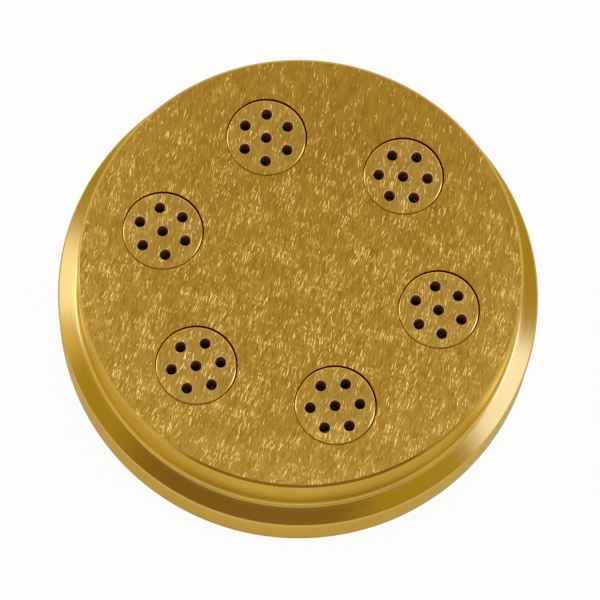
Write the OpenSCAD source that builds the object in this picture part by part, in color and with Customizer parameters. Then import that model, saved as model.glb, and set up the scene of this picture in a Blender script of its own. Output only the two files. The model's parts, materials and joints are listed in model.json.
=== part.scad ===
// Pasta extrusion die: a turned brass body with a ring of pierced inserts.
// It stands on its dough side at z = 0, and the strands leave through the top face.
// All sizes are in millimetres and all angles in degrees.

/* [Body] */
// Height from the dough side to the outlet face
body_h = 25.2; // [22:0.1:40]
// Diameter of the nose that the machine's ring nut passes over
nose_d = 84; // [76:0.5:110]
// Width of the flange beyond the nose
flange_w = 4; // [2:0.1:8]
// Height of the flange's straight wall, up to the shoulder
flange_h = 10; // [5:0.1:11]
// Slope of the shoulder between nose and flange
shoulder_slope = 25; // [5:1:35]
// Radius in the corner between nose and shoulder
root_r = 1.5; // [0.5:0.1:2]
// Edge break round the outlet face
nose_break = 0.5; // [0.2:0.05:1]
// Edge break on both edges of the flange's wall
flange_break = 0.3; // [0.1:0.05:1]

/* [Strand holes] */
// Diameter of a strand hole
hole_d = 2; // [1:0.1:3]
// Wall between neighbouring strand holes
hole_web = 2.64; // [1:0.02:4]
// Thickness of the pierced plate, which shapes the strands
plate_h = 4; // [1:0.1:8]

/* [Inserts] */
// Ledge round the outer strand holes, on the floor of the cup behind the plate
cup_ledge = 0.56; // [0.2:0.02:2]
// Wall between the cup and the insert's nose
cup_wall = 1.4; // [0.8:0.1:3]
// Length of the insert's nose
insert_nose_h = 9; // [5:0.1:11]
// Height of the collar that seats behind the body's shoulder
collar_h = 5; // [2:0.1:7]
// Width of the collar beyond the nose
collar_w = 1.4; // [0.8:0.1:3]
// Edge break round the insert's outlet face
insert_break = 0.2; // [0.1:0.05:0.5]
// Edge break on both edges of the collar
collar_break = 0.3; // [0.1:0.05:0.5]
// Radial gap between an insert and its bore
insert_gap = 0.05; // [0.02:0.01:0.1]

/* [Insert seats] */
// Face width between an insert and the edge of the nose
seat_margin = 7.4; // [5:0.1:12]
// Edge break round the bore at the outlet face
seat_break = 0.2; // [0.1:0.05:0.5]
// Entry bevel of the feed pocket at the dough side
pocket_bevel = 1; // [0.3:0.1:2]

/* [Insert turns] */
// Turn of the first insert about its own axis
turn_1 = 53; // [0:1:59]
// Turn of the second insert
turn_2 = 12; // [0:1:59]
// Turn of the third insert
turn_3 = 45; // [0:1:59]
// Turn of the fourth insert
turn_4 = 53; // [0:1:59]
// Turn of the fifth insert
turn_5 = 25; // [0:1:59]
// Turn of the sixth insert
turn_6 = 21; // [0:1:59]

/* [Hidden] */

turns = [turn_1, turn_2, turn_3, turn_4, turn_5, turn_6];
seat_count = len(turns);
// Six holes round a centre hole lie one pitch from each neighbour
outer_holes = 6;

nose_r = nose_d / 2;
flange_r = nose_r + flange_w;
// Height at which the shoulder would meet the nose without the root radius
shoulder_top = flange_h + flange_w * tan(shoulder_slope);
// Angle swept by the root radius, and the height at which it leaves the nose
root_sweep = 90 - shoulder_slope;
root_top = shoulder_top + root_r * tan(root_sweep / 2);
root_steps = 3;

hole_r = hole_d / 2;
hole_pitch = hole_d + hole_web;
cup_r = hole_pitch + hole_r + cup_ledge;

insert_r = cup_r + cup_wall;
insert_h = insert_nose_h + collar_h;
// Height of the cup's floor above the back of the insert
cup_h = insert_h - plate_h;
collar_r = insert_r + collar_w;

bore_r = insert_r + insert_gap;
pocket_r = collar_r + insert_gap;
ring_r = nose_r - seat_margin - insert_r;
// Height of the shoulder that the collars seat against
seat_z = body_h - insert_nose_h;

// Overshoot of a cut past the face that it opens
cut = 1;
round_fn = 96;
body_brass = [0.67, 0.52, 0.20];
insert_brass = [0.70, 0.55, 0.22];

// Points of the root radius, from the nose down to the shoulder
function root_arc() = [
  for (i = [0 : root_steps])
    let (a = 180 + root_sweep * i / root_steps)
    [nose_r + root_r * (1 + cos(a)), root_top + root_r * sin(a)]
];

module turned(profile) {
  rotate_extrude($fn = round_fn) polygon(profile);
}

// Carries its children to one seat on the ring of inserts
module at_seat(i) {
  rotate(360 * i / seat_count) translate([ring_r, 0, 0]) children();
}

module body_blank() {
  turned(concat(
    [[0, 0], [flange_r - flange_break, 0], [flange_r, flange_break]],
    [[flange_r, flange_h - flange_break]],
    [[flange_r - flange_break, flange_h + flange_break * tan(shoulder_slope)]],
    [for (i = [root_steps : -1 : 0]) root_arc()[i]],
    [[nose_r, body_h - nose_break], [nose_r - nose_break, body_h], [0, body_h]]
  ));
}

// Stepped bore: feed pocket from the dough side, shoulder, and nose bore to the outlet
module seat_bore() {
  turned([
    [0, -cut], [pocket_r + pocket_bevel + cut, -cut], [pocket_r, pocket_bevel],
    [pocket_r, seat_z], [bore_r, seat_z], [bore_r, body_h - seat_break],
    [bore_r + seat_break + cut, body_h + cut], [0, body_h + cut]
  ]);
}

// One strand hole, from the cup to the outlet face
module strand_hole() {
  translate([0, 0, cup_h - cut]) cylinder(r = hole_r, h = plate_h + 2 * cut, $fn = round_fn);
}

// Stepped plug with a cup at its back, measured up from there
module insert_blank() {
  turned([
    [cup_r, 0], [collar_r - collar_break, 0], [collar_r, collar_break],
    [collar_r, collar_h - collar_break], [collar_r - collar_break, collar_h],
    [insert_r, collar_h], [insert_r, insert_h - insert_break],
    [insert_r - insert_break, insert_h], [0, insert_h], [0, cup_h], [cup_r, cup_h]
  ]);
}

module insert(i) {
  color(insert_brass)
    at_seat(i) translate([0, 0, body_h - insert_h]) rotate(turns[i] - 360 * i / seat_count)
      difference() {
        insert_blank();
        strand_hole();
        for (k = [0 : outer_holes - 1])
          rotate(360 * k / outer_holes) translate([hole_pitch, 0, 0]) strand_hole();
      }
}

module die_body() {
  color(body_brass)
    difference() {
      body_blank();
      for (i = [0 : seat_count - 1]) at_seat(i) seat_bore();
    }
}

module insert_1() { insert(0); }
module insert_2() { insert(1); }
module insert_3() { insert(2); }
module insert_4() { insert(3); }
module insert_5() { insert(4); }
module insert_6() { insert(5); }

die_body();
insert_1();
insert_2();
insert_3();
insert_4();
insert_5();
insert_6();
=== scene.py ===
"""Looks of a pasta extrusion die: a turned brass body with a ring of pierced inserts.

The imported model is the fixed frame. Each of its solids is shown by a finer mesh of the same
form, dressed in scratch-brushed and turned brass. Lengths in the pieces' classes are millimetres.
"""

import json
import logging
import math
from dataclasses import dataclass
from enum import IntEnum
from typing import Any, Sequence, Union

import bmesh
import bpy
from mathutils import Matrix, Vector


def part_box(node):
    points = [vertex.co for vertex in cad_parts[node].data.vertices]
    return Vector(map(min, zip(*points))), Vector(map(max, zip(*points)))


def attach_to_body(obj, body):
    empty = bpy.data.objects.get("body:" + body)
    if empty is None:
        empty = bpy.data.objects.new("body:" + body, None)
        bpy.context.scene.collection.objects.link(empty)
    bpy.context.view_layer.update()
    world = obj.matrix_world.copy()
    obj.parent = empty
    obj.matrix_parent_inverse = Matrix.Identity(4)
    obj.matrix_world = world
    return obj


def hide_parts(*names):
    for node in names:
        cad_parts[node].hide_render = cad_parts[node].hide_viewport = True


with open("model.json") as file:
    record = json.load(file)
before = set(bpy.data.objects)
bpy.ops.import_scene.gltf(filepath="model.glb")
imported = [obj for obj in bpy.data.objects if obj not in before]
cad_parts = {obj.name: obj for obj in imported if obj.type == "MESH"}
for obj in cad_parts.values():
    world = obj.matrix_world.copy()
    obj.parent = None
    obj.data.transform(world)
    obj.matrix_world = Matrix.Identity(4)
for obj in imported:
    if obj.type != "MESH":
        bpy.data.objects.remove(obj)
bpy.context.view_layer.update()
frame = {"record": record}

LOG = logging.getLogger("pasta_die")
MM = 0.001
BODY = "root"
# A noise texture lies around this value
NOISE_MEAN = 0.5
# Keeps a whole quotient from falling below itself when it is rounded down
INDEX_NUDGE = 0.5 / 4096

Colour = tuple[float, float, float]
Point = tuple[float, float]
Operand = Union["Signal", float, Sequence[float]]


class Zone(IntEnum):
    """Where a face lies on a pierced turning, and so which finish it wears."""

    OUTLET = 0
    WALL = 1
    BORE = 2
    BACK = 3


def srgb(red: int, green: int, blue: int) -> Colour:
    """Turn a display colour into linear light, by the standard's own curve.

    Args:
        red, green, blue: channels from 0 to 255.

    Returns:
        The three linear channels.
    """
    channels = []
    for channel in (red, green, blue):
        share = channel / 255
        low = share <= 0.04045
        channels.append(share / 12.92 if low else ((share + 0.055) / 1.055) ** 2.4)
    return tuple(channels)


class Signal:
    """One output socket. Arithmetic on it adds Math or Vector Math nodes to its tree."""

    def __init__(self, tree: "Tree", socket: bpy.types.NodeSocket) -> None:
        """Wrap a socket of a tree."""
        self.tree = tree
        self.socket = socket

    @property
    def is_vector(self) -> bool:
        """Tell whether the socket carries three numbers."""
        return self.socket.type in {"VECTOR", "RGBA"}

    def _join(self, operation: str, first: Operand, second: Operand) -> "Signal":
        """Add the node for one operation.

        Args:
            operation: the Math or Vector Math operation.
            first, second: its two operands in order.

        Returns:
            The node's result.
        """
        if any(isinstance(o, Signal) and o.is_vector or isinstance(o, tuple)
               for o in (first, second)):
            return self.tree.vector(operation, first, second)
        return self.tree.maths(operation, first, second)

    def __add__(self, other: Operand) -> "Signal":
        """Add."""
        return self._join("ADD", self, other)

    def __radd__(self, other: Operand) -> "Signal":
        """Add, with the socket on the right."""
        return self._join("ADD", other, self)

    def __sub__(self, other: Operand) -> "Signal":
        """Subtract."""
        return self._join("SUBTRACT", self, other)

    def __rsub__(self, other: Operand) -> "Signal":
        """Subtract the socket from another operand."""
        return self._join("SUBTRACT", other, self)

    def __mul__(self, other: Operand) -> "Signal":
        """Multiply."""
        return self._join("MULTIPLY", self, other)

    def __rmul__(self, other: Operand) -> "Signal":
        """Multiply, with the socket on the right."""
        return self._join("MULTIPLY", other, self)

    def __truediv__(self, other: Operand) -> "Signal":
        """Divide."""
        return self._join("DIVIDE", self, other)

    def __pow__(self, power: float) -> "Signal":
        """Raise to a power."""
        return self.tree.maths("POWER", self, power)

    def __lt__(self, other: Operand) -> "Signal":
        """Give 1 where the socket is below the other operand and 0 elsewhere."""
        return self.tree.maths("LESS_THAN", self, other)

    def __abs__(self) -> "Signal":
        """Give the size without its sign."""
        return self.tree.maths("ABSOLUTE", self)

    def floor(self) -> "Signal":
        """Round down."""
        return self.tree.maths("FLOOR", self)

    def within(self, low: float, high: float) -> "Signal":
        """Rise smoothly from 0 at low to 1 at high.

        Args:
            low, high: where the rise begins and ends; low may be the larger one.

        Returns:
            The eased share.
        """
        settings = {"interpolation_type": "SMOOTHSTEP"}
        sockets = {"Value": self, "From Min": low, "From Max": high}
        if low > high:
            sockets = {"Value": self, "From Min": high, "From Max": low}
            return 1.0 - self.tree.out("ShaderNodeMapRange", settings, sockets)
        return self.tree.out("ShaderNodeMapRange", settings, sockets)

    def positive(self) -> "Signal":
        """Cut off what is below 0."""
        return self.tree.maths("MAXIMUM", self, 0.0)

    def parts(self) -> tuple["Signal", "Signal", "Signal"]:
        """Split a vector or a colour into its three numbers."""
        node = self.tree.node("ShaderNodeSeparateXYZ", {}, {"Vector": self})
        return tuple(Signal(self.tree, socket) for socket in node.outputs)


class Tree:
    """A node tree that is filled by calls."""

    def __init__(self, target: bpy.types.NodeTree) -> None:
        """Start on a tree, which may already hold nodes."""
        self.target = target

    @classmethod
    def of_material(cls, name: str) -> tuple[bpy.types.Material, "Tree"]:
        """Make an empty material.

        Args:
            name: the material's name.

        Returns:
            The material and its tree.
        """
        material = bpy.data.materials.new(name)
        material.use_nodes = True
        material.node_tree.nodes.clear()
        return material, cls(material.node_tree)

    def node(self, kind: str, settings: dict[str, Any] | None = None,
             sockets: dict[Any, Any] | None = None) -> bpy.types.Node:
        """Add a node.

        Args:
            kind: the node's type.
            settings: its properties, which are set first.
            sockets: values or links by socket name or number.

        Returns:
            The node.
        """
        made = self.target.nodes.new(kind)
        for name, value in (settings or {}).items():
            setattr(made, name, value)
        for key, value in (sockets or {}).items():
            values = value if isinstance(value, list) else [value]
            for item in values:
                if isinstance(item, Signal):
                    self.target.links.new(item.socket, made.inputs[key])
                else:
                    made.inputs[key].default_value = item
        return made

    def out(self, kind: str, settings: dict[str, Any] | None = None,
            sockets: dict[Any, Any] | None = None, output: Union[int, str] = 0) -> Signal:
        """Add a node and take one of its outputs.

        Args:
            kind, settings, sockets: as for node.
            output: the output's name or number.

        Returns:
            The output.
        """
        return Signal(self, self.node(kind, settings, sockets).outputs[output])

    def maths(self, operation: str, *operands: Operand) -> Signal:
        """Add a Math node on plain numbers."""
        return self.out("ShaderNodeMath", {"operation": operation}, dict(enumerate(operands)))

    def vector(self, operation: str, first: Operand, second: Operand) -> Signal:
        """Add a Vector Math node; a plain number spreads to all three axes."""
        if isinstance(second, (int, float)):
            second = (second,) * 3
        if isinstance(first, (int, float)):
            first = (first,) * 3
        sockets = {0: first, 1: second}
        return self.out("ShaderNodeVectorMath", {"operation": operation}, sockets)

    def combine(self, x: Operand, y: Operand, z: Operand) -> Signal:
        """Make a vector of three numbers."""
        return self.out("ShaderNodeCombineXYZ", {}, {"X": x, "Y": y, "Z": z})

    def blend(self, share: Operand, low: Operand, high: Operand) -> Signal:
        """Mix two colours.

        Args:
            share: 0 gives low and 1 gives high.
            low, high: colours or links.

        Returns:
            The mixed colour.
        """
        def colour(value: Operand) -> Operand:
            """Give a plain colour its alpha."""
            return value if isinstance(value, Signal) else (*value, 1.0)

        sockets = {"Factor": share, 6: colour(low), 7: colour(high)}
        return self.out("ShaderNodeMix", {"data_type": "RGBA"}, sockets, 2)

    def noise(self, place: Operand, scale: float, detail: float = 2.0) -> Signal:
        """Add a noise texture around 0.5.

        Args:
            place: where it is read.
            scale: features per unit of place.
            detail: finer octaves.

        Returns:
            The noise value.
        """
        sockets = {"Vector": place, "Scale": scale, "Detail": detail}
        return self.out("ShaderNodeTexNoise", {}, sockets)

    def streaks(self, path: Signal, stretch: Point, detail: float) -> Signal:
        """Add a noise that is drawn out along a path.

        Args:
            path: the place across and along the path, in millimetres.
            stretch: features per millimetre across and along it.
            detail: finer octaves.

        Returns:
            The noise value.
        """
        return self.noise(path * (*stretch, 1.0), 1.0, detail)

    def place_mm(self) -> Signal:
        """Give the surface point in the part's frame, in millimetres."""
        place = self.out("ShaderNodeTexCoord", {}, {}, "Object")
        return place * (1 / MM)

    def bump(self, height: Signal, strength: float, distance: float) -> Signal:
        """Raise the surface by a height map.

        Args:
            height: the map, from 0 to 1.
            strength: share of the full effect.
            distance: height of a full step, in metres.

        Returns:
            The bent normal.
        """
        sockets = {"Strength": strength, "Distance": distance, "Height": height}
        return self.out("ShaderNodeBump", {}, sockets)

    def metal(self, edge: Colour, sockets: dict[Any, Any]) -> None:
        """End a material in a metallic surface.

        Args:
            edge: the tint of its reflection at a grazing angle.
            sockets: further values or links of the surface.
        """
        settings = {"Metallic": 1.0, "Specular Tint": (*edge, 1.0), **sockets}
        surface = self.out("ShaderNodeBsdfPrincipled", {}, settings)
        self.node("ShaderNodeOutputMaterial", {}, {"Surface": surface})


@dataclass(frozen=True)
class StrokeLayer:
    """One layer of short brush marks, one to a cell, with painted glint; lengths are millimetres.
    """

    gap: float
    run: float
    half_width: float
    half_length: float
    spread: float
    share: float
    skew: float
    gain: float
    offset: float
    offset_along: float = 0.37

    def marks(self, tree: Tree, place: Signal, density: Signal) -> Signal:
        """Draw the layer's marks.

        Args:
            tree: the material's tree.
            place: the surface point in millimetres.
            density: local factor on the share of cells that hold a mark.

        Returns:
            The brightness of the marks, a painted glint, 0 between them.
        """
        cell = (self.gap, self.run, 1.0)
        cells = place / cell + (self.offset, self.offset_along * self.offset, 0.0)
        settings = {"voronoi_dimensions": "2D", "feature": "F1"}
        seeds = tree.node("ShaderNodeTexVoronoi", settings, {"Vector": cells, "Scale": 1.0})
        chance = Signal(tree, seeds.outputs["Color"]).parts()
        from_seed = (cells - Signal(tree, seeds.outputs["Position"])) * cell
        lean = (chance[0] - 0.5) * math.radians(self.spread)
        turned = tree.out(
            "ShaderNodeVectorRotate", {"rotation_type": "Z_AXIS"},
            {"Vector": from_seed, "Angle": lean},
        )
        across, along, _ = turned.parts()
        ridge = (1.0 - abs(across) / self.half_width).positive()
        taper = (1.0 - (along / self.half_length) ** 2.0).positive()
        present = chance[2] < density * self.share
        return ridge * taper * chance[1] ** self.skew * present * self.gain


@dataclass(frozen=True)
class BrushedFace:
    """Scratch-brushed brass: a streaky satin ground with many short marks in painted glint
    colours.

    A range says where a share is 0 and where it is 1. A stretch counts features per millimetre
    across and along the brush. A weight is the part that one layer has in a sum.
    """

    name: str
    shade: Colour
    ground: Colour
    mark_sheen: Colour
    glint: Colour
    edge: Colour
    roughness: float
    mark_roughness: float
    density: float
    even: float
    layers: tuple[StrokeLayer, ...]
    wander_scale: float = 0.7
    wander: float = 0.5
    slant: float = 0.03
    bow: float = 0.0012
    frontness_y: Point = (40.0, 6.0)
    even_frontness: float = 0.6
    rim_r: Point = (24.0, 42.0)
    rim_weight: float = 0.2
    patch_scale: float = 0.22
    patch_range: Point = (0.40, 0.62)
    patch_weight: float = 0.45
    patch_frontness: float = 1.05
    flake_stretch: Point = (0.9, 0.3)
    flake_range: Point = (0.42, 0.70)
    flake_weight: float = 0.45
    mark_weight: float = 0.62
    mark_frontness: float = 0.2
    mark_flakes: float = 0.5
    hair_stretch: Point = (2.4, 0.34)
    hair_width: float = 0.05
    hair_weight: float = 0.1
    hair_frontness: float = 0.3
    grain_stretch: Point = (4.8, 0.5)
    grain_range: Point = (0.32, 0.68)
    grain_weight: float = 0.35
    grain_frontness: float = 0.25
    tone_stretch: Point = (0.6, 0.22)
    tone_range: Point = (0.3, 0.7)
    tone_weight: float = 0.25
    mark_range: Point = (0.0, 0.75)
    glint_range: Point = (0.6, 1.3)
    rough_range: Point = (0.0, 0.8)
    bump_marks: float = 0.7
    bump_grain: float = 0.3
    bump_strength: float = 0.25
    bump_height: float = 0.00003

    def material(self) -> bpy.types.Material:
        """Build the material."""
        material, tree = Tree.of_material(self.name)
        x, y, _ = tree.place_mm().parts()
        flat = tree.combine(x, y, 0.0)
        # The brush ran along Y in a slight bow and wandered a little
        drift = (tree.noise(flat, self.wander_scale, 1.0) - NOISE_MEAN) * self.wander
        path = tree.combine(x + y * (y * self.bow + self.slant) + drift, y, 0.0)
        # Denser, brighter marks and a streakier ground towards the front, in patches and small
        # flakes
        frontness = y.within(*self.frontness_y) * (1.0 - self.even) + self.even_frontness * self.even
        flakes = tree.streaks(path, self.flake_stretch, 2.0).within(*self.flake_range)
        marks = self._marks(tree, flat, path, frontness, flakes)
        grain = tree.streaks(path, self.grain_stretch, 3.0)
        rim = tree.maths("SQRT", x * x + y * y).within(*self.rim_r)
        light = self._light(tree, flat, path, frontness, grain) + rim * self.rim_weight
        ground = tree.blend(light, self.shade, self.ground)
        # The marks' lighter colour and the glint colour are painted highlights; bump and
        # roughness are real
        lit = tree.blend(marks.within(*self.mark_range), ground, self.mark_sheen)
        gloss = (self.mark_roughness - self.roughness) * marks.within(*self.rough_range)
        height = marks * self.bump_marks + grain * self.bump_grain
        tree.metal(self.edge, {
            "Base Color": tree.blend(marks.within(*self.glint_range), lit, self.glint),
            "Roughness": self.roughness + gloss,
            "Normal": tree.bump(height, self.bump_strength, self.bump_height),
        })
        return material

    def _marks(self, tree: Tree, flat: Signal, path: Signal, frontness: Signal,
               flakes: Signal) -> Signal:
        """Draw the marks of all layers.

        Args:
            tree: the material's tree.
            flat: the surface point in millimetres.
            path: the same point across and along the brush.
            frontness: a share that rises towards the front.
            flakes: the small flakes in which the marks are denser and brighter.

        Returns:
            The brightness of the marks, a painted glint, 0 between them.
        """
        patches = tree.noise(flat, self.patch_scale, 3.0).within(*self.patch_range)
        density = (patches * (frontness * self.patch_frontness + self.patch_weight)
                   + flakes * self.flake_weight + self.density)
        marks = self.layers[0].marks(tree, path, density)
        for layer in self.layers[1:]:
            marks = marks + layer.marks(tree, path, density)
        return marks * (flakes * self.mark_flakes + frontness * self.mark_frontness + self.mark_weight)

    def _light(self, tree: Tree, flat: Signal, path: Signal, frontness: Signal,
               grain: Signal) -> Signal:
        """Give the lightness of the ground between the marks.

        Args:
            tree, flat, path, frontness: as for the marks.
            grain: the finest streaks.

        Returns:
            The share of the lighter brass.
        """
        # Fine hairs lie where a stretched noise crosses its mean
        crossing = abs(tree.streaks(path, self.hair_stretch, 1.0) - NOISE_MEAN)
        hairs = (1.0 - crossing / self.hair_width).positive()
        tone = tree.streaks(flat, self.tone_stretch, 2.0).within(*self.tone_range)
        streaks = grain.within(*self.grain_range)
        return (streaks * (frontness * self.grain_frontness + self.grain_weight)
                + hairs * (frontness * self.hair_frontness + self.hair_weight)
                + tone * self.tone_weight)


@dataclass(frozen=True)
class TurnedBrass:
    """Lathe-turned brass with fine rings round the axis of the die, satin between two heights.

    Scales count features per millimetre, and heights and fades are millimetres.
    """

    name: str
    bright: Colour
    dull: Colour
    edge: Colour
    roughness: float
    satin: float
    satin_bright: Colour
    ring_depth: float
    satin_from: float = 11.6
    satin_from_fade: float = 0.4
    satin_to: float = 24.7
    satin_to_fade: float = 0.1
    ring_scale: float = 3.2
    fine_scale: float = 11.0
    ring_weight: float = 0.65
    cloud_scale: float = 0.07
    worn_range: Point = (0.3, 0.7)
    worn_marks: float = 0.55
    rough_swing: float = 0.16
    ring_height: float = 0.00002

    def material(self) -> bpy.types.Material:
        """Build the material."""
        material, tree = Tree.of_material(self.name)
        place = tree.place_mm()
        x, y, z = place.parts()
        radius = tree.maths("SQRT", x * x + y * y)
        # One coordinate that runs across the tool marks on walls, cones and flats alike
        across = radius + z
        rings = tree.noise(tree.combine(across * self.ring_scale, 0.0, 0.0), 1.0, 3.0)
        fine = tree.noise(tree.combine(across * self.fine_scale, 0.0, 0.0), 1.0, 2.0)
        cloud = tree.noise(place, self.cloud_scale, 2.0)
        marks = rings * self.ring_weight + fine * (1.0 - self.ring_weight)
        worn = (marks.within(*self.worn_range) * self.worn_marks
                + cloud.within(*self.worn_range) * (1.0 - self.worn_marks))
        foot, top = self.satin_from_fade, self.satin_to_fade
        upper = (z.within(self.satin_from - foot, self.satin_from + foot)
                 * z.within(self.satin_to + top, self.satin_to - top))
        fresh = tree.blend(upper, self.bright, self.satin_bright)
        rough = ((marks - NOISE_MEAN) * self.rough_swing + self.roughness
                 + upper * (self.satin - self.roughness))
        tree.metal(self.edge, {
            "Base Color": tree.blend(worn, self.dull, fresh),
            "Roughness": rough,
            "Normal": tree.bump(marks, self.ring_depth, self.ring_height),
        })
        return material


@dataclass(frozen=True)
class BoreBrass:
    """Brass in its mouth colour at the outlet edge, matt painted shade below it, clean brass
    again further in.

    Depths below the outlet face are millimetres.
    """

    name: str
    mouth: Colour
    painted_shade: Colour
    clean: Colour
    outlet_z: float
    shade_from: float
    shade_at: float
    clean_at: float
    roughness: float
    shade_roughness: float
    clean_from_share: float = 0.6
    spot_scale: float = 1.4
    spot_swing: float = 0.1

    def material(self) -> bpy.types.Material:
        """Build the material."""
        material, tree = Tree.of_material(self.name)
        place = tree.place_mm()
        depth = self.outlet_z - place.parts()[2]
        further_in = depth.within(self.clean_from_share * self.clean_at, self.clean_at)
        # Below the mouth a matt colour with no shine is painted shade, for the dark of grooves
        # and holes
        shaded = depth.within(self.shade_from, self.shade_at) * (1.0 - further_in)
        brass = tree.blend(further_in, self.mouth, self.clean)
        spots = (tree.noise(place, self.spot_scale, 3.0) - NOISE_MEAN) * self.spot_swing
        rise = self.shade_roughness - self.roughness
        tree.metal(self.mouth, {
            "Base Color": tree.blend(shaded, brass, self.painted_shade),
            "Metallic": 1.0 - shaded,
            "Specular IOR Level": 0.0,
            "Roughness": shaded * rise + self.roughness + spots,
        })
        return material


@dataclass(frozen=True)
class Corner:
    """One corner of a turned profile, with the radius that eases it."""

    r: float
    z: float
    ease: float = 0.0


def eased(corners: Sequence[Corner], steps: int = 5) -> list[Point]:
    """Round the corners of a profile with arcs.

    Args:
        corners: the profile's corners in order.
        steps: straight stretches to an arc.

    Returns:
        The profile's points.
    """
    points = [(corners[0].r, corners[0].z)]
    for before, corner, after in zip(corners, corners[1:], corners[2:]):
        here = Vector((corner.r, corner.z))
        back = (Vector((before.r, before.z)) - here).normalized()
        onward = (Vector((after.r, after.z)) - here).normalized()
        half = back.angle(onward) / 2
        if corner.ease == 0.0:
            points.append(tuple(here))
            continue
        centre = here + (back + onward).normalized() * (corner.ease / math.sin(half))
        start = here + back * (corner.ease / math.tan(half)) - centre
        end = here + onward * (corner.ease / math.tan(half)) - centre
        sweep = start.angle_signed(end)
        for step in range(steps + 1):
            turn = Matrix.Rotation(-sweep * step / steps, 2)
            points.append(tuple(centre + turn @ start))
    points.append((corners[-1].r, corners[-1].z))
    return points


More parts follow.
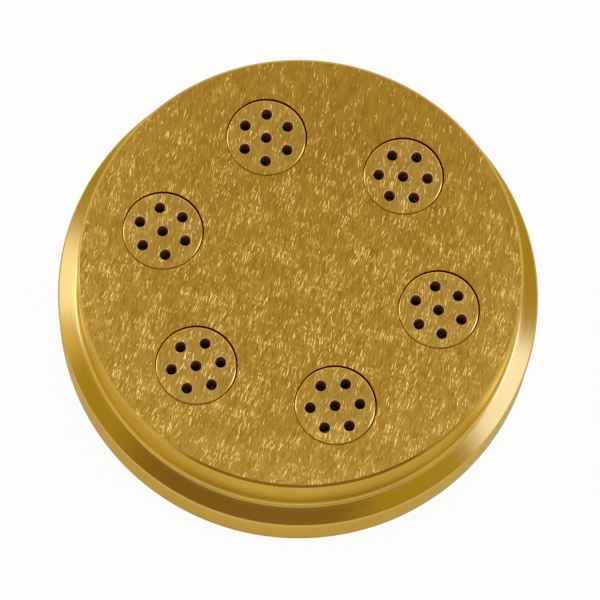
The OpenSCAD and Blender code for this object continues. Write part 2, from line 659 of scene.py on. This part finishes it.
class PiercedTurning:
    """Geometry Nodes tree: a turned piece with a ring of bores from face to face.

    It reads two profiles from the points of its own object, first the outer wall and then a
    bore's wall, each from the outlet face down to the back face, as (radius, 0, height).
    """

    NAME = "pierced_turning"
    MERGE_MM = 0.001
    CREASE = math.radians(28)
    INPUTS = (
        ("Wall Points", "NodeSocketInt"), ("Bore Points", "NodeSocketInt"),
        ("Wall Segments", "NodeSocketInt"), ("Bore Segments", "NodeSocketInt"),
        ("Outlet Radius", "NodeSocketFloat"), ("Outlet Height", "NodeSocketFloat"),
        ("Outlet Mouth", "NodeSocketFloat"),
        ("Back Radius", "NodeSocketFloat"), ("Back Height", "NodeSocketFloat"),
        ("Back Mouth", "NodeSocketFloat"),
        ("Ring Radius", "NodeSocketFloat"), ("Ring Bores", "NodeSocketInt"),
        ("Centre Bores", "NodeSocketInt"), ("Turn", "NodeSocketFloat"),
        ("Seat", "NodeSocketVector"), ("Merge Distance", "NodeSocketFloat"),
    )

    def __init__(self) -> None:
        """Build the tree once."""
        self.group = bpy.data.node_groups.new(self.NAME, "GeometryNodeTree")
        self.group.is_modifier = True
        add = self.group.interface.new_socket
        add("Geometry", in_out="OUTPUT", socket_type="NodeSocketGeometry")
        add("Geometry", in_out="INPUT", socket_type="NodeSocketGeometry")
        for name, kind in self.INPUTS:
            add(name, in_out="INPUT", socket_type=kind)
        for zone in Zone:
            add(self.finish_input(zone), in_out="INPUT", socket_type="NodeSocketMaterial")
        self.tree = Tree(self.group)
        self.given = self.tree.node("NodeGroupInput")
        self._fill()

    @staticmethod
    def finish_input(zone: Zone) -> str:
        """Name the material input of a zone."""
        return f"{zone.name.title()} Finish"

    def _input(self, name: str) -> Signal:
        """Take one of the tree's inputs."""
        return Signal(self.tree, self.given.outputs[name])

    def _zoned(self, mesh: Signal, zone: Zone) -> Signal:
        """Mark the faces of a mesh with their zone."""
        return self.tree.out(
            "GeometryNodeStoreNamedAttribute", {"data_type": "INT", "domain": "FACE"},
            {"Geometry": mesh, "Name": "zone", "Value": int(zone)},
        )

    def _lathe(self, first: Operand, count: Signal, segments: Signal) -> Signal:
        """Turn a stretch of the profile points about Z.

        Args:
            first: number of the stretch's first point.
            count: how many points it has.
            segments: straight stretches round the axis.

        Returns:
            The turned wall, open at its seam.
        """
        tree = self.tree
        rows = segments + 1.0
        grid = tree.out(
            "GeometryNodeMeshGrid", {}, {"Vertices X": count, "Vertices Y": rows},
        )
        index = tree.out("GeometryNodeInputIndex")
        column = (index / rows + INDEX_NUDGE).floor()
        angle = (index - column * rows) / segments * math.tau
        profile = tree.out(
            "GeometryNodeSampleIndex", {"data_type": "FLOAT_VECTOR", "domain": "POINT"},
            {"Geometry": self._input("Geometry"), "Index": column + first,
             "Value": tree.out("GeometryNodeInputPosition")},
        )
        r, _, z = profile.parts()
        place = tree.combine(r * tree.maths("COSINE", angle), r * tree.maths("SINE", angle), z)
        return tree.out("GeometryNodeSetPosition", {}, {"Geometry": grid, "Position": place})

    def _pierced_disc(self, seats: Signal, rim: str, mouth: str, height: str) -> Signal:
        """Fill a flat face round the mouths of the bores.

        Args:
            seats: the points of the bores.
            rim, mouth, height: names of the inputs with its sizes.

        Returns:
            The face as a mesh.
        """
        tree = self.tree
        circle = "GeometryNodeCurvePrimitiveCircle"
        edge = tree.out(circle, {}, {
            "Resolution": self._input("Wall Segments"), "Radius": self._input(rim)})
        ring = tree.out(circle, {}, {
            "Resolution": self._input("Bore Segments"), "Radius": self._input(mouth)})
        rings = tree.out("GeometryNodeInstanceOnPoints", {}, {"Points": seats, "Instance": ring})
        curves = tree.out("GeometryNodeRealizeInstances", {}, {"Geometry": rings})
        outline = tree.out("GeometryNodeJoinGeometry", {}, {"Geometry": [edge, curves]})
        face = tree.out("GeometryNodeFillCurve", {"mode": "TRIANGLES"}, {"Curve": outline})
        lift = tree.combine(0.0, 0.0, self._input(height))
        return tree.out(
            "GeometryNodeTransform", {}, {"Geometry": face, "Translation": lift},
        )

    def _fill(self) -> None:
        """Add the tree's nodes."""
        tree = self.tree
        circle = tree.out("GeometryNodeMeshCircle", {}, {
            "Vertices": self._input("Ring Bores"), "Radius": self._input("Ring Radius")})
        ring = tree.out("GeometryNodeMeshToPoints", {}, {"Mesh": circle})
        centre = tree.out("GeometryNodePoints", {}, {"Count": self._input("Centre Bores")})
        seats = tree.out("GeometryNodeJoinGeometry", {}, {"Geometry": [ring, centre]})
        wall = self._lathe(0.0, self._input("Wall Points"), self._input("Wall Segments"))
        bore = self._lathe(
            self._input("Wall Points"), self._input("Bore Points"), self._input("Bore Segments"))
        bores = tree.out("GeometryNodeInstanceOnPoints", {}, {"Points": seats, "Instance": bore})
        outlet = self._pierced_disc(seats, "Outlet Radius", "Outlet Mouth", "Outlet Height")
        back = self._pierced_disc(seats, "Back Radius", "Back Mouth", "Back Height")
        skins = [
            self._zoned(outlet, Zone.OUTLET), self._zoned(wall, Zone.WALL),
            self._zoned(tree.out("GeometryNodeRealizeInstances", {}, {"Geometry": bores}),
                        Zone.BORE),
            self._zoned(tree.out("GeometryNodeFlipFaces", {}, {"Mesh": back}), Zone.BACK),
        ]
        joined = tree.out("GeometryNodeJoinGeometry", {}, {"Geometry": skins})
        closed = tree.out("GeometryNodeMergeByDistance", {}, {
            "Geometry": joined, "Distance": self._input("Merge Distance")})
        placed = tree.out("GeometryNodeTransform", {}, {
            "Geometry": closed, "Translation": self._input("Seat"),
            "Rotation": tree.combine(0.0, 0.0, self._input("Turn"))})
        dressed = tree.out("GeometryNodeRealizeInstances", {}, {"Geometry": placed})
        zone_of = tree.out(
            "GeometryNodeInputNamedAttribute", {"data_type": "INT"}, {"Name": "zone"})
        for zone in Zone:
            worn_here = tree.out(
                "FunctionNodeCompare", {"data_type": "INT", "operation": "EQUAL"},
                {2: zone_of, 3: int(zone)})
            dressed = tree.out("GeometryNodeSetMaterial", {}, {
                "Geometry": dressed, "Selection": worn_here,
                "Material": self._input(self.finish_input(zone))})
        tree.node("NodeGroupOutput", {}, {"Geometry": dressed})

    def piece(self, name: str, wall: Sequence[Point], bore: Sequence[Point],
              sizes: dict[str, Any], finishes: dict[Zone, bpy.types.Material]
              ) -> bpy.types.Object:
        """Make one piece as a plain mesh in its place.

        Args:
            name: the piece's name.
            wall, bore: the two profiles in millimetres, from the outlet face down.
            sizes: further inputs of the tree.
            finishes: the material of each zone.

        Returns:
            The piece.
        """
        points = [(r * MM, 0.0, z * MM) for r, z in (*wall, *bore)]
        profile = bpy.data.meshes.new(f"{name}_profile")
        profile.from_pydata(points, [], [])
        made = bpy.data.objects.new(name, profile)
        bpy.context.scene.collection.objects.link(made)
        modifier = made.modifiers.new(self.NAME, "NODES")
        modifier.node_group = self.group
        given = {
            "Wall Points": len(wall), "Bore Points": len(bore),
            "Outlet Radius": wall[0][0] * MM, "Outlet Height": wall[0][1] * MM,
            "Outlet Mouth": bore[0][0] * MM, "Back Radius": wall[-1][0] * MM,
            "Back Height": wall[-1][1] * MM, "Back Mouth": bore[-1][0] * MM,
            "Merge Distance": self.MERGE_MM * MM, **sizes,
            **{self.finish_input(zone): finish for zone, finish in finishes.items()},
        }
        for item in self.group.interface.items_tree:
            if item.in_out == "INPUT" and item.name in given:
                modifier[item.identifier] = given[item.name]
        graph = bpy.context.evaluated_depsgraph_get()
        mesh = bpy.data.meshes.new_from_object(made.evaluated_get(graph), depsgraph=graph)
        made.modifiers.clear()
        made.data = mesh
        mesh.name = name
        bpy.data.meshes.remove(profile)
        if mesh.materials[0] is None:
            mesh.materials.pop(index=0)
        self._smooth(mesh)
        return made

    def _smooth(self, mesh: bpy.types.Mesh) -> None:
        """Point the faces of a finished mesh outwards and shade them smooth between creases."""
        work = bmesh.new()
        work.from_mesh(mesh)
        bmesh.ops.recalc_face_normals(work, faces=work.faces)
        for edge in work.edges:
            faces = edge.link_faces
            if len(faces) != 2:
                raise ValueError(f"{mesh.name} is open at {edge.verts[0].co}")
            kept = faces[0].material_index != faces[1].material_index
            edge.smooth = not kept and edge.calc_face_angle() < self.CREASE
        for face in work.faces:
            face.smooth = True
        work.to_mesh(mesh)
        work.free()


def mount_radius(name: str) -> float:
    """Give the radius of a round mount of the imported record, in millimetres."""
    for mount in frame["record"]["mounts"]:
        if mount["name"] == name:
            return mount["dims"]["r_mm"]
    raise KeyError(name)


@dataclass
class DieBody:
    """The turned body: nose, conical shoulder and flange, bored through for the inserts."""

    node: str = "die_body"
    slot: str = "body_brass"
    flange_h: float = 10.0
    shoulder_slope: float = 25.0
    root_r: float = 1.5
    nose_break: float = 0.5
    flange_break: float = 0.3
    edge_ease: float = 0.12
    bore_r: float = 7.65
    pocket_r: float = 9.05
    seat_depth: float = 9.0
    seat_break: float = 0.06
    seat_break_h: float = 0.2
    pocket_bevel: float = 1.0
    pocket_ease: float = 0.2
    ring_r: float = 27.0
    ring_bores: int = 6
    wall_segments: int = 384
    bore_segments: int = 128
    arc_steps: int = 8

    def __post_init__(self) -> None:
        """Take the outer sizes from the frame."""
        self.nose_r = mount_radius("nose_rim")
        self.flange_r = mount_radius("flange_rim")
        self.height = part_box(self.node)[1].z / MM

    def wall(self) -> list[Point]:
        """Give the outer profile, from the outlet face down to the dough side."""
        rise = math.tan(math.radians(self.shoulder_slope))
        root_z = self.flange_h + (self.flange_r - self.nose_r) * rise
        brk = self.flange_break
        return eased([
            Corner(self.nose_r - self.nose_break, self.height),
            Corner(self.nose_r, self.height - self.nose_break, self.edge_ease),
            Corner(self.nose_r, root_z, self.root_r),
            Corner(self.flange_r - brk, self.flange_h + brk * rise, self.edge_ease),
            Corner(self.flange_r, self.flange_h - brk, self.edge_ease),
            Corner(self.flange_r, brk, self.edge_ease),
            Corner(self.flange_r - brk, 0.0),
        ], self.arc_steps)

    def bore(self) -> list[Point]:
        """Give the profile of a stepped seat, from the outlet face down."""
        seat_z = self.height - self.seat_depth
        return eased([
            Corner(self.bore_r + self.seat_break, self.height),
            Corner(self.bore_r, self.height - self.seat_break_h),
            Corner(self.bore_r, seat_z),
            Corner(self.pocket_r, seat_z),
            Corner(self.pocket_r, self.pocket_bevel, self.pocket_ease),
            Corner(self.pocket_r + self.pocket_bevel, 0.0),
        ])

    def build(self, turning: PiercedTurning,
              finishes: dict[Zone, bpy.types.Material]) -> bpy.types.Object:
        """Make the body in its place.

        Args:
            turning: the tree that makes pierced turnings.
            finishes: the material of each zone.

        Returns:
            The piece, which stands for the solid.
        """
        piece = turning.piece("brass_body", self.wall(), self.bore(), {
            "Wall Segments": self.wall_segments, "Bore Segments": self.bore_segments,
            "Ring Radius": self.ring_r * MM, "Ring Bores": self.ring_bores,
        }, finishes)
        return attach(piece, self.node)


@dataclass
class StrandInsert:
    """One insert: a stepped plug, cupped from behind, with six strand holes round a seventh.

    Nose and collar are 0.1 mm under the solid's radii, and it stands nearly against one side of
    its seat, so that the groove round it is wide on the other side.
    """

    number: int
    turn: float
    slot: str = "insert_brass"
    nose_r: float = 7.5
    collar_r: float = 8.9
    collar_h: float = 5.0
    face_break: float = 0.22
    face_break_h: float = 0.127
    edge_ease: float = 0.02
    collar_break: float = 0.3
    cup_r: float = 6.2
    cup_ease: float = 0.1
    plate_h: float = 4.0
    hole_r: float = 1.0
    lip_w: float = 0.08
    lip_h: float = 0.03
    mouth_w: float = 0.1
    mouth_h: float = 0.2
    hole_pitch: float = 4.64
    lean: Point = (-0.066, -0.128)
    outer_holes: int = 6
    centre_holes: int = 1
    wall_segments: int = 160
    hole_segments: int = 48

    @property
    def node(self) -> str:
        """Name the solid that the insert stands for."""
        return f"insert_{self.number}"

    def wall(self, low: float, high: float) -> list[Point]:
        """Give the profile from the outlet face, round the collar, to the floor of the cup."""
        shelf = low + self.collar_h
        brk = self.collar_break
        return eased([
            Corner(self.nose_r - self.face_break, high),
            Corner(self.nose_r, high - self.face_break_h, self.edge_ease),
            Corner(self.nose_r, shelf),
            Corner(self.collar_r - brk, shelf),
            Corner(self.collar_r, shelf - brk),
            Corner(self.collar_r, low + brk),
            Corner(self.collar_r - brk, low),
            Corner(self.cup_r, low, self.cup_ease),
            Corner(self.cup_r, high - self.plate_h),
        ])

    def hole(self, high: float) -> list[Point]:
        """Give the profile of a strand hole, from the outlet face down to the cup."""
        return eased([
            Corner(self.hole_r + self.mouth_w + self.lip_w, high),
            Corner(self.hole_r + self.mouth_w, high - self.lip_h, self.edge_ease),
            Corner(self.hole_r, high - self.mouth_h),
            Corner(self.hole_r, high - self.plate_h),
        ])

    def build(self, turning: PiercedTurning,
              finishes: dict[Zone, bpy.types.Material]) -> bpy.types.Object:
        """Make the insert in its seat.

        Args:
            turning: the tree that makes pierced turnings.
            finishes: the material of each zone.

        Returns:
            The piece, which stands for the solid.
        """
        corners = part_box(self.node)
        middle = (corners[0] + corners[1]) / 2
        seat = (middle.x + self.lean[0] * MM, middle.y + self.lean[1] * MM, 0.0)
        low, high = (corner.z / MM for corner in corners)
        piece = turning.piece(f"brass_{self.node}", self.wall(low, high), self.hole(high), {
            "Wall Segments": self.wall_segments, "Bore Segments": self.hole_segments,
            "Ring Radius": self.hole_pitch * MM, "Ring Bores": self.outer_holes,
            "Centre Bores": self.centre_holes, "Turn": math.radians(self.turn),
            "Seat": Vector(seat),
        }, finishes)
        return attach(piece, self.node)


def attach(piece: bpy.types.Object, node: str) -> bpy.types.Object:
    """Let a piece stand for a solid of the frame.

    Args:
        piece: the finished piece.
        node: the solid that it stands for.

    Returns:
        The same piece.
    """
    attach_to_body(piece, BODY)
    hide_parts(node)
    LOG.info("%s stands for %s with %d faces", piece.name, node, len(piece.data.polygons))
    return piece


@dataclass
class PhotoView:
    """The camera, placed by the point on the outlet face that it looks at; angles in degrees."""

    aim: tuple[float, float, float] = (1.48, -5.71, 25.2)
    distance: float = 749.8
    elevation: float = 73.715
    azimuth: float = 10.239
    roll: float = 6.113
    lens: float = 240.0
    sensor: float = 36.0
    near_clip: float = 0.01

    def build(self) -> bpy.types.Object:
        """Make the scene's camera."""
        data = bpy.data.cameras.new("photo_view")
        data.lens = self.lens
        data.sensor_width = self.sensor
        data.clip_start = self.near_clip
        camera = bpy.data.objects.new("photo_view", data)
        bpy.context.scene.collection.objects.link(camera)
        tilt, swing = math.radians(self.elevation), math.radians(self.azimuth)
        back = Vector((
            math.sin(swing) * math.cos(tilt), -math.cos(swing) * math.cos(tilt), math.sin(tilt),
        ))
        turn = back.to_track_quat("Z", "Y").to_matrix()
        turn = turn @ Matrix.Rotation(math.radians(self.roll), 3, "Z")
        place = (Vector(self.aim) + back * self.distance) * MM
        camera.matrix_world = Matrix.Translation(place) @ turn.to_4x4()
        bpy.context.scene.camera = camera
        return camera


@dataclass(frozen=True)
class Softbox:
    """A soft round patch of light on the dome; place, full core and reach are in degrees."""

    azimuth: float
    elevation: float
    core: float
    reach: float
    light: Colour

    def over(self, tree: Tree, towards: Signal, colour: Signal) -> Signal:
        """Lay the patch over the light of the dome.

        Args:
            tree: the world's tree.
            towards: the direction that is looked up.
            colour: the light there without the patch.

        Returns:
            The light with the patch.
        """
        rise, swing = math.radians(self.elevation), math.radians(self.azimuth)
        axis = (math.cos(swing) * math.cos(rise), math.sin(swing) * math.cos(rise),
                math.sin(rise))
        near = tree.out("ShaderNodeVectorMath", {"operation": "DOT_PRODUCT"},
                        {0: towards, 1: axis}, "Value")
        rim, full = (math.cos(math.radians(angle)) for angle in (self.reach, self.core))
        return tree.blend(near.within(rim, full), colour, self.light)


@dataclass
class Studio:
    """The pale floor, and the dome with its softboxes.

    A zone of the dome is given by the components of a direction between which its light rises.
    """

    floor_side: float = 6.0
    floor_glow: float = 0.95
    floor_shine: float = 0.2
    floor_colour: Colour = (0.86, 0.78, 0.56)
    covered_r: float = 45.0
    overhead: Colour = (1.2, 1.2, 1.2)
    low_side: Colour = (0.66, 0.52, 0.24)
    low_front: Colour = (0.78, 0.78, 0.66)
    low_back: Colour = (0.9, 0.8, 0.55)
    dim_back: Colour = (0.44, 0.31, 0.03)
    dim_front: Colour = (0.24, 0.135, 0.03)
    front_y: Point = (-0.42, -0.58)
    left_x: Point = (-0.25, -0.55)
    side_y: Point = (-0.3, -0.1)
    glow_z: Point = (0.55, 0.42)
    glow_y: Point = (0.45, 0.15)
    back_z: Point = (0.42, 0.32)
    back_y: Point = (0.45, 0.65)
    band_foot_z: Point = (0.27, 0.34)
    band_top_z: Point = (0.52, 0.45)
    band_y: Point = (-0.1, -0.3)
    overhead_z: Point = (0.82, 0.95)
    lamps: tuple[Softbox, ...] = (
        Softbox(azimuth=180.0, elevation=21.0, core=8.0, reach=16.0, light=(2.1, 2.0, 2.5)),
        Softbox(azimuth=12.0, elevation=21.0, core=9.0, reach=17.0, light=(1.85, 1.85, 3.2)),
        Softbox(azimuth=185.0, elevation=43.0, core=5.0, reach=10.0, light=(0.84, 0.61, 0.17)),
        Softbox(azimuth=170.0, elevation=38.0, core=6.0, reach=13.0, light=(1.2, 1.1, 1.2)),
        Softbox(azimuth=11.0, elevation=43.5, core=8.0, reach=17.0, light=(1.2, 1.22, 1.7)),
        Softbox(azimuth=172.0, elevation=4.0, core=9.0, reach=16.0, light=(1.9, 1.7, 1.3)),
    )

    def floor(self) -> bpy.types.Object:
        """Make the floor, which stays pale to the eye and keeps the shadow."""
        half = self.floor_side / 2
        corners = [(-half, -half, 0.0), (half, -half, 0.0), (half, half, 0.0), (-half, half, 0.0)]
        mesh = bpy.data.meshes.new("floor")
        mesh.from_pydata(corners, [], [(0, 1, 2, 3)])
        material, tree = Tree.of_material("pale_floor")
        path = tree.node("ShaderNodeLightPath")
        seen = Signal(tree, path.outputs["Is Camera Ray"]) * self.floor_glow
        mirrored = Signal(tree, path.outputs["Is Glossy Ray"]) * self.floor_shine
        x, y, _ = tree.place_mm().parts()
        # Under the die the floor stays dark, as its holes show
        bare = tree.maths("GREATER_THAN", x * x + y * y, self.covered_r ** 2)
        matt = tree.out("ShaderNodeBsdfDiffuse", {}, {"Color": (*self.floor_colour, 1.0)})
        glow = tree.out("ShaderNodeEmission", {}, {"Strength": 1.0})
        share = (seen + mirrored) * bare
        mixed = tree.out("ShaderNodeMixShader", {}, {0: share, 1: matt, 2: glow})
        tree.node("ShaderNodeOutputMaterial", {}, {"Surface": mixed})
        mesh.materials.append(material)
        floor = bpy.data.objects.new("floor", mesh)
        bpy.context.scene.collection.objects.link(floor)
        return floor

    def dome(self) -> None:
        """Light the scene from a dome: bright overhead, dim walls and low light round them."""
        world = bpy.data.worlds.new("studio_dome")
        world.use_nodes = True
        world.node_tree.nodes.clear()
        tree = Tree(world.node_tree)
        towards = tree.out("ShaderNodeTexCoord", {}, {}, "Generated")
        x, y, z = towards.parts()
        walls = tree.blend(y.within(*self.front_y), self.dim_back, self.dim_front)
        # A low glow at both sides narrows to a band along the right half of the front
        sides = tree.maths("MAXIMUM", x.within(*self.left_x), y.within(*self.side_y))
        glow = z.within(*self.glow_z) * y.within(*self.glow_y)
        colour = tree.blend(glow * sides, walls, self.low_side)
        behind = z.within(*self.back_z) * y.within(*self.back_y)
        colour = tree.blend(behind, colour, self.low_back)
        band = (z.within(*self.band_foot_z) * z.within(*self.band_top_z)
                * y.within(*self.band_y))
        colour = tree.blend(band * (1.0 - sides), colour, self.low_front)
        colour = tree.blend(z.within(*self.overhead_z), colour, self.overhead)
        for lamp in self.lamps:
            colour = lamp.over(tree, towards, colour)
        light = tree.out("ShaderNodeBackground", {}, {"Color": colour})
        tree.node("ShaderNodeOutputWorld", {}, {"Surface": light})
        bpy.context.scene.world = world

    def build(self) -> None:
        """Set up the studio."""
        self.floor()
        self.dome()
        bpy.context.scene.view_settings.view_transform = "Standard"


LONG_MARKS = StrokeLayer(
    gap=0.42, run=2.4, half_width=0.105, half_length=1.1, spread=26.0, share=0.62, skew=2.0,
    gain=1.5, offset=3.1)
SHORT_MARKS = StrokeLayer(
    gap=0.30, run=1.0, half_width=0.09, half_length=0.46, spread=34.0, share=0.55, skew=2.2,
    gain=1.5, offset=17.3)
FAINT_MARKS = StrokeLayer(
    gap=0.55, run=3.2, half_width=0.18, half_length=1.5, spread=18.0, share=0.8, skew=1.2,
    gain=0.40, offset=29.7)
MARKS = (LONG_MARKS, SHORT_MARKS, FAINT_MARKS)

EDGE_TINT = srgb(247, 230, 166)
CLEAN_BRASS = srgb(206, 164, 80)
# Height of the outlet face, from which the depth of the painted shade is measured
OUTLET_Z = 25.2

# The faces' mark sheen and glint colours are painted highlights of the scratches
BODY_FACE = BrushedFace(
    name="brushed_body_face", shade=srgb(140, 102, 24), ground=srgb(188, 148, 62),
    mark_sheen=srgb(238, 198, 112), glint=srgb(255, 240, 165), edge=EDGE_TINT,
    roughness=0.36, mark_roughness=0.30, density=0.1, even=0.0, layers=MARKS)
INSERT_FACE = BrushedFace(
    name="brushed_insert_face", shade=srgb(146, 111, 34), ground=srgb(188, 152, 72),
    mark_sheen=srgb(238, 200, 118), glint=srgb(255, 240, 168), edge=EDGE_TINT,
    roughness=0.33, mark_roughness=0.28, density=0.08, even=0.75, layers=MARKS)
TURNED_WALL = TurnedBrass(
    name="turned_wall", bright=srgb(236, 212, 136), dull=srgb(228, 202, 122), edge=EDGE_TINT,
    roughness=0.15, satin=0.33, satin_bright=srgb(250, 236, 138), ring_depth=0.08)
TURNED_BACK = TurnedBrass(
    name="turned_back", bright=srgb(212, 170, 84), dull=srgb(190, 148, 62), edge=EDGE_TINT,
    roughness=0.30, satin=0.30, satin_bright=srgb(212, 170, 84), ring_depth=0.35)
# Dark brown mouth and maroon matt wall: painted shade of the groove round each insert
SEAT_BORE = BoreBrass(
    name="seat_bore", mouth=srgb(120, 60, 12), painted_shade=srgb(128, 26, 4), clean=CLEAN_BRASS,
    outlet_z=OUTLET_Z, shade_from=0.02, shade_at=0.06, clean_at=8.0,
    roughness=0.25, shade_roughness=0.6)
# Olive-brown matt side: painted shade of the groove seen below each insert
INSERT_SIDE = BoreBrass(
    name="insert_side", mouth=srgb(232, 208, 108), painted_shade=srgb(200, 140, 40), clean=CLEAN_BRASS,
    outlet_z=OUTLET_Z, shade_from=0.13, shade_at=0.18, clean_at=8.0,
    roughness=0.2, shade_roughness=0.6)
# Pale mouth: a painted highlight on the edge break; matt wall: painted shade down the hole
STRAND_BORE = BoreBrass(
    name="strand_bore", mouth=srgb(250, 226, 172), painted_shade=srgb(160, 116, 84), clean=CLEAN_BRASS,
    outlet_z=OUTLET_Z, shade_from=0.03, shade_at=0.06, clean_at=9.0,
    roughness=0.3, shade_roughness=0.6)

INSERT_TURNS = (53.0, 12.0, 45.0, 53.0, 25.0, 21.0)


def main() -> None:
    """Build the die, the studio and the camera."""
    logging.basicConfig(level=logging.INFO, format="%(name)s: %(message)s")
    turning = PiercedTurning()
    back = TURNED_BACK.material()
    DieBody().build(turning, {
        Zone.OUTLET: BODY_FACE.material(), Zone.WALL: TURNED_WALL.material(),
        Zone.BORE: SEAT_BORE.material(), Zone.BACK: back,
    })
    insert_finishes = {
        Zone.OUTLET: INSERT_FACE.material(), Zone.WALL: INSERT_SIDE.material(),
        Zone.BORE: STRAND_BORE.material(), Zone.BACK: back,
    }
    for number, turn in enumerate(INSERT_TURNS, start=1):
        StrandInsert(number, turn).build(turning, insert_finishes)
    Studio().build()
    PhotoView().build()


if __name__ == "__main__":
    main()
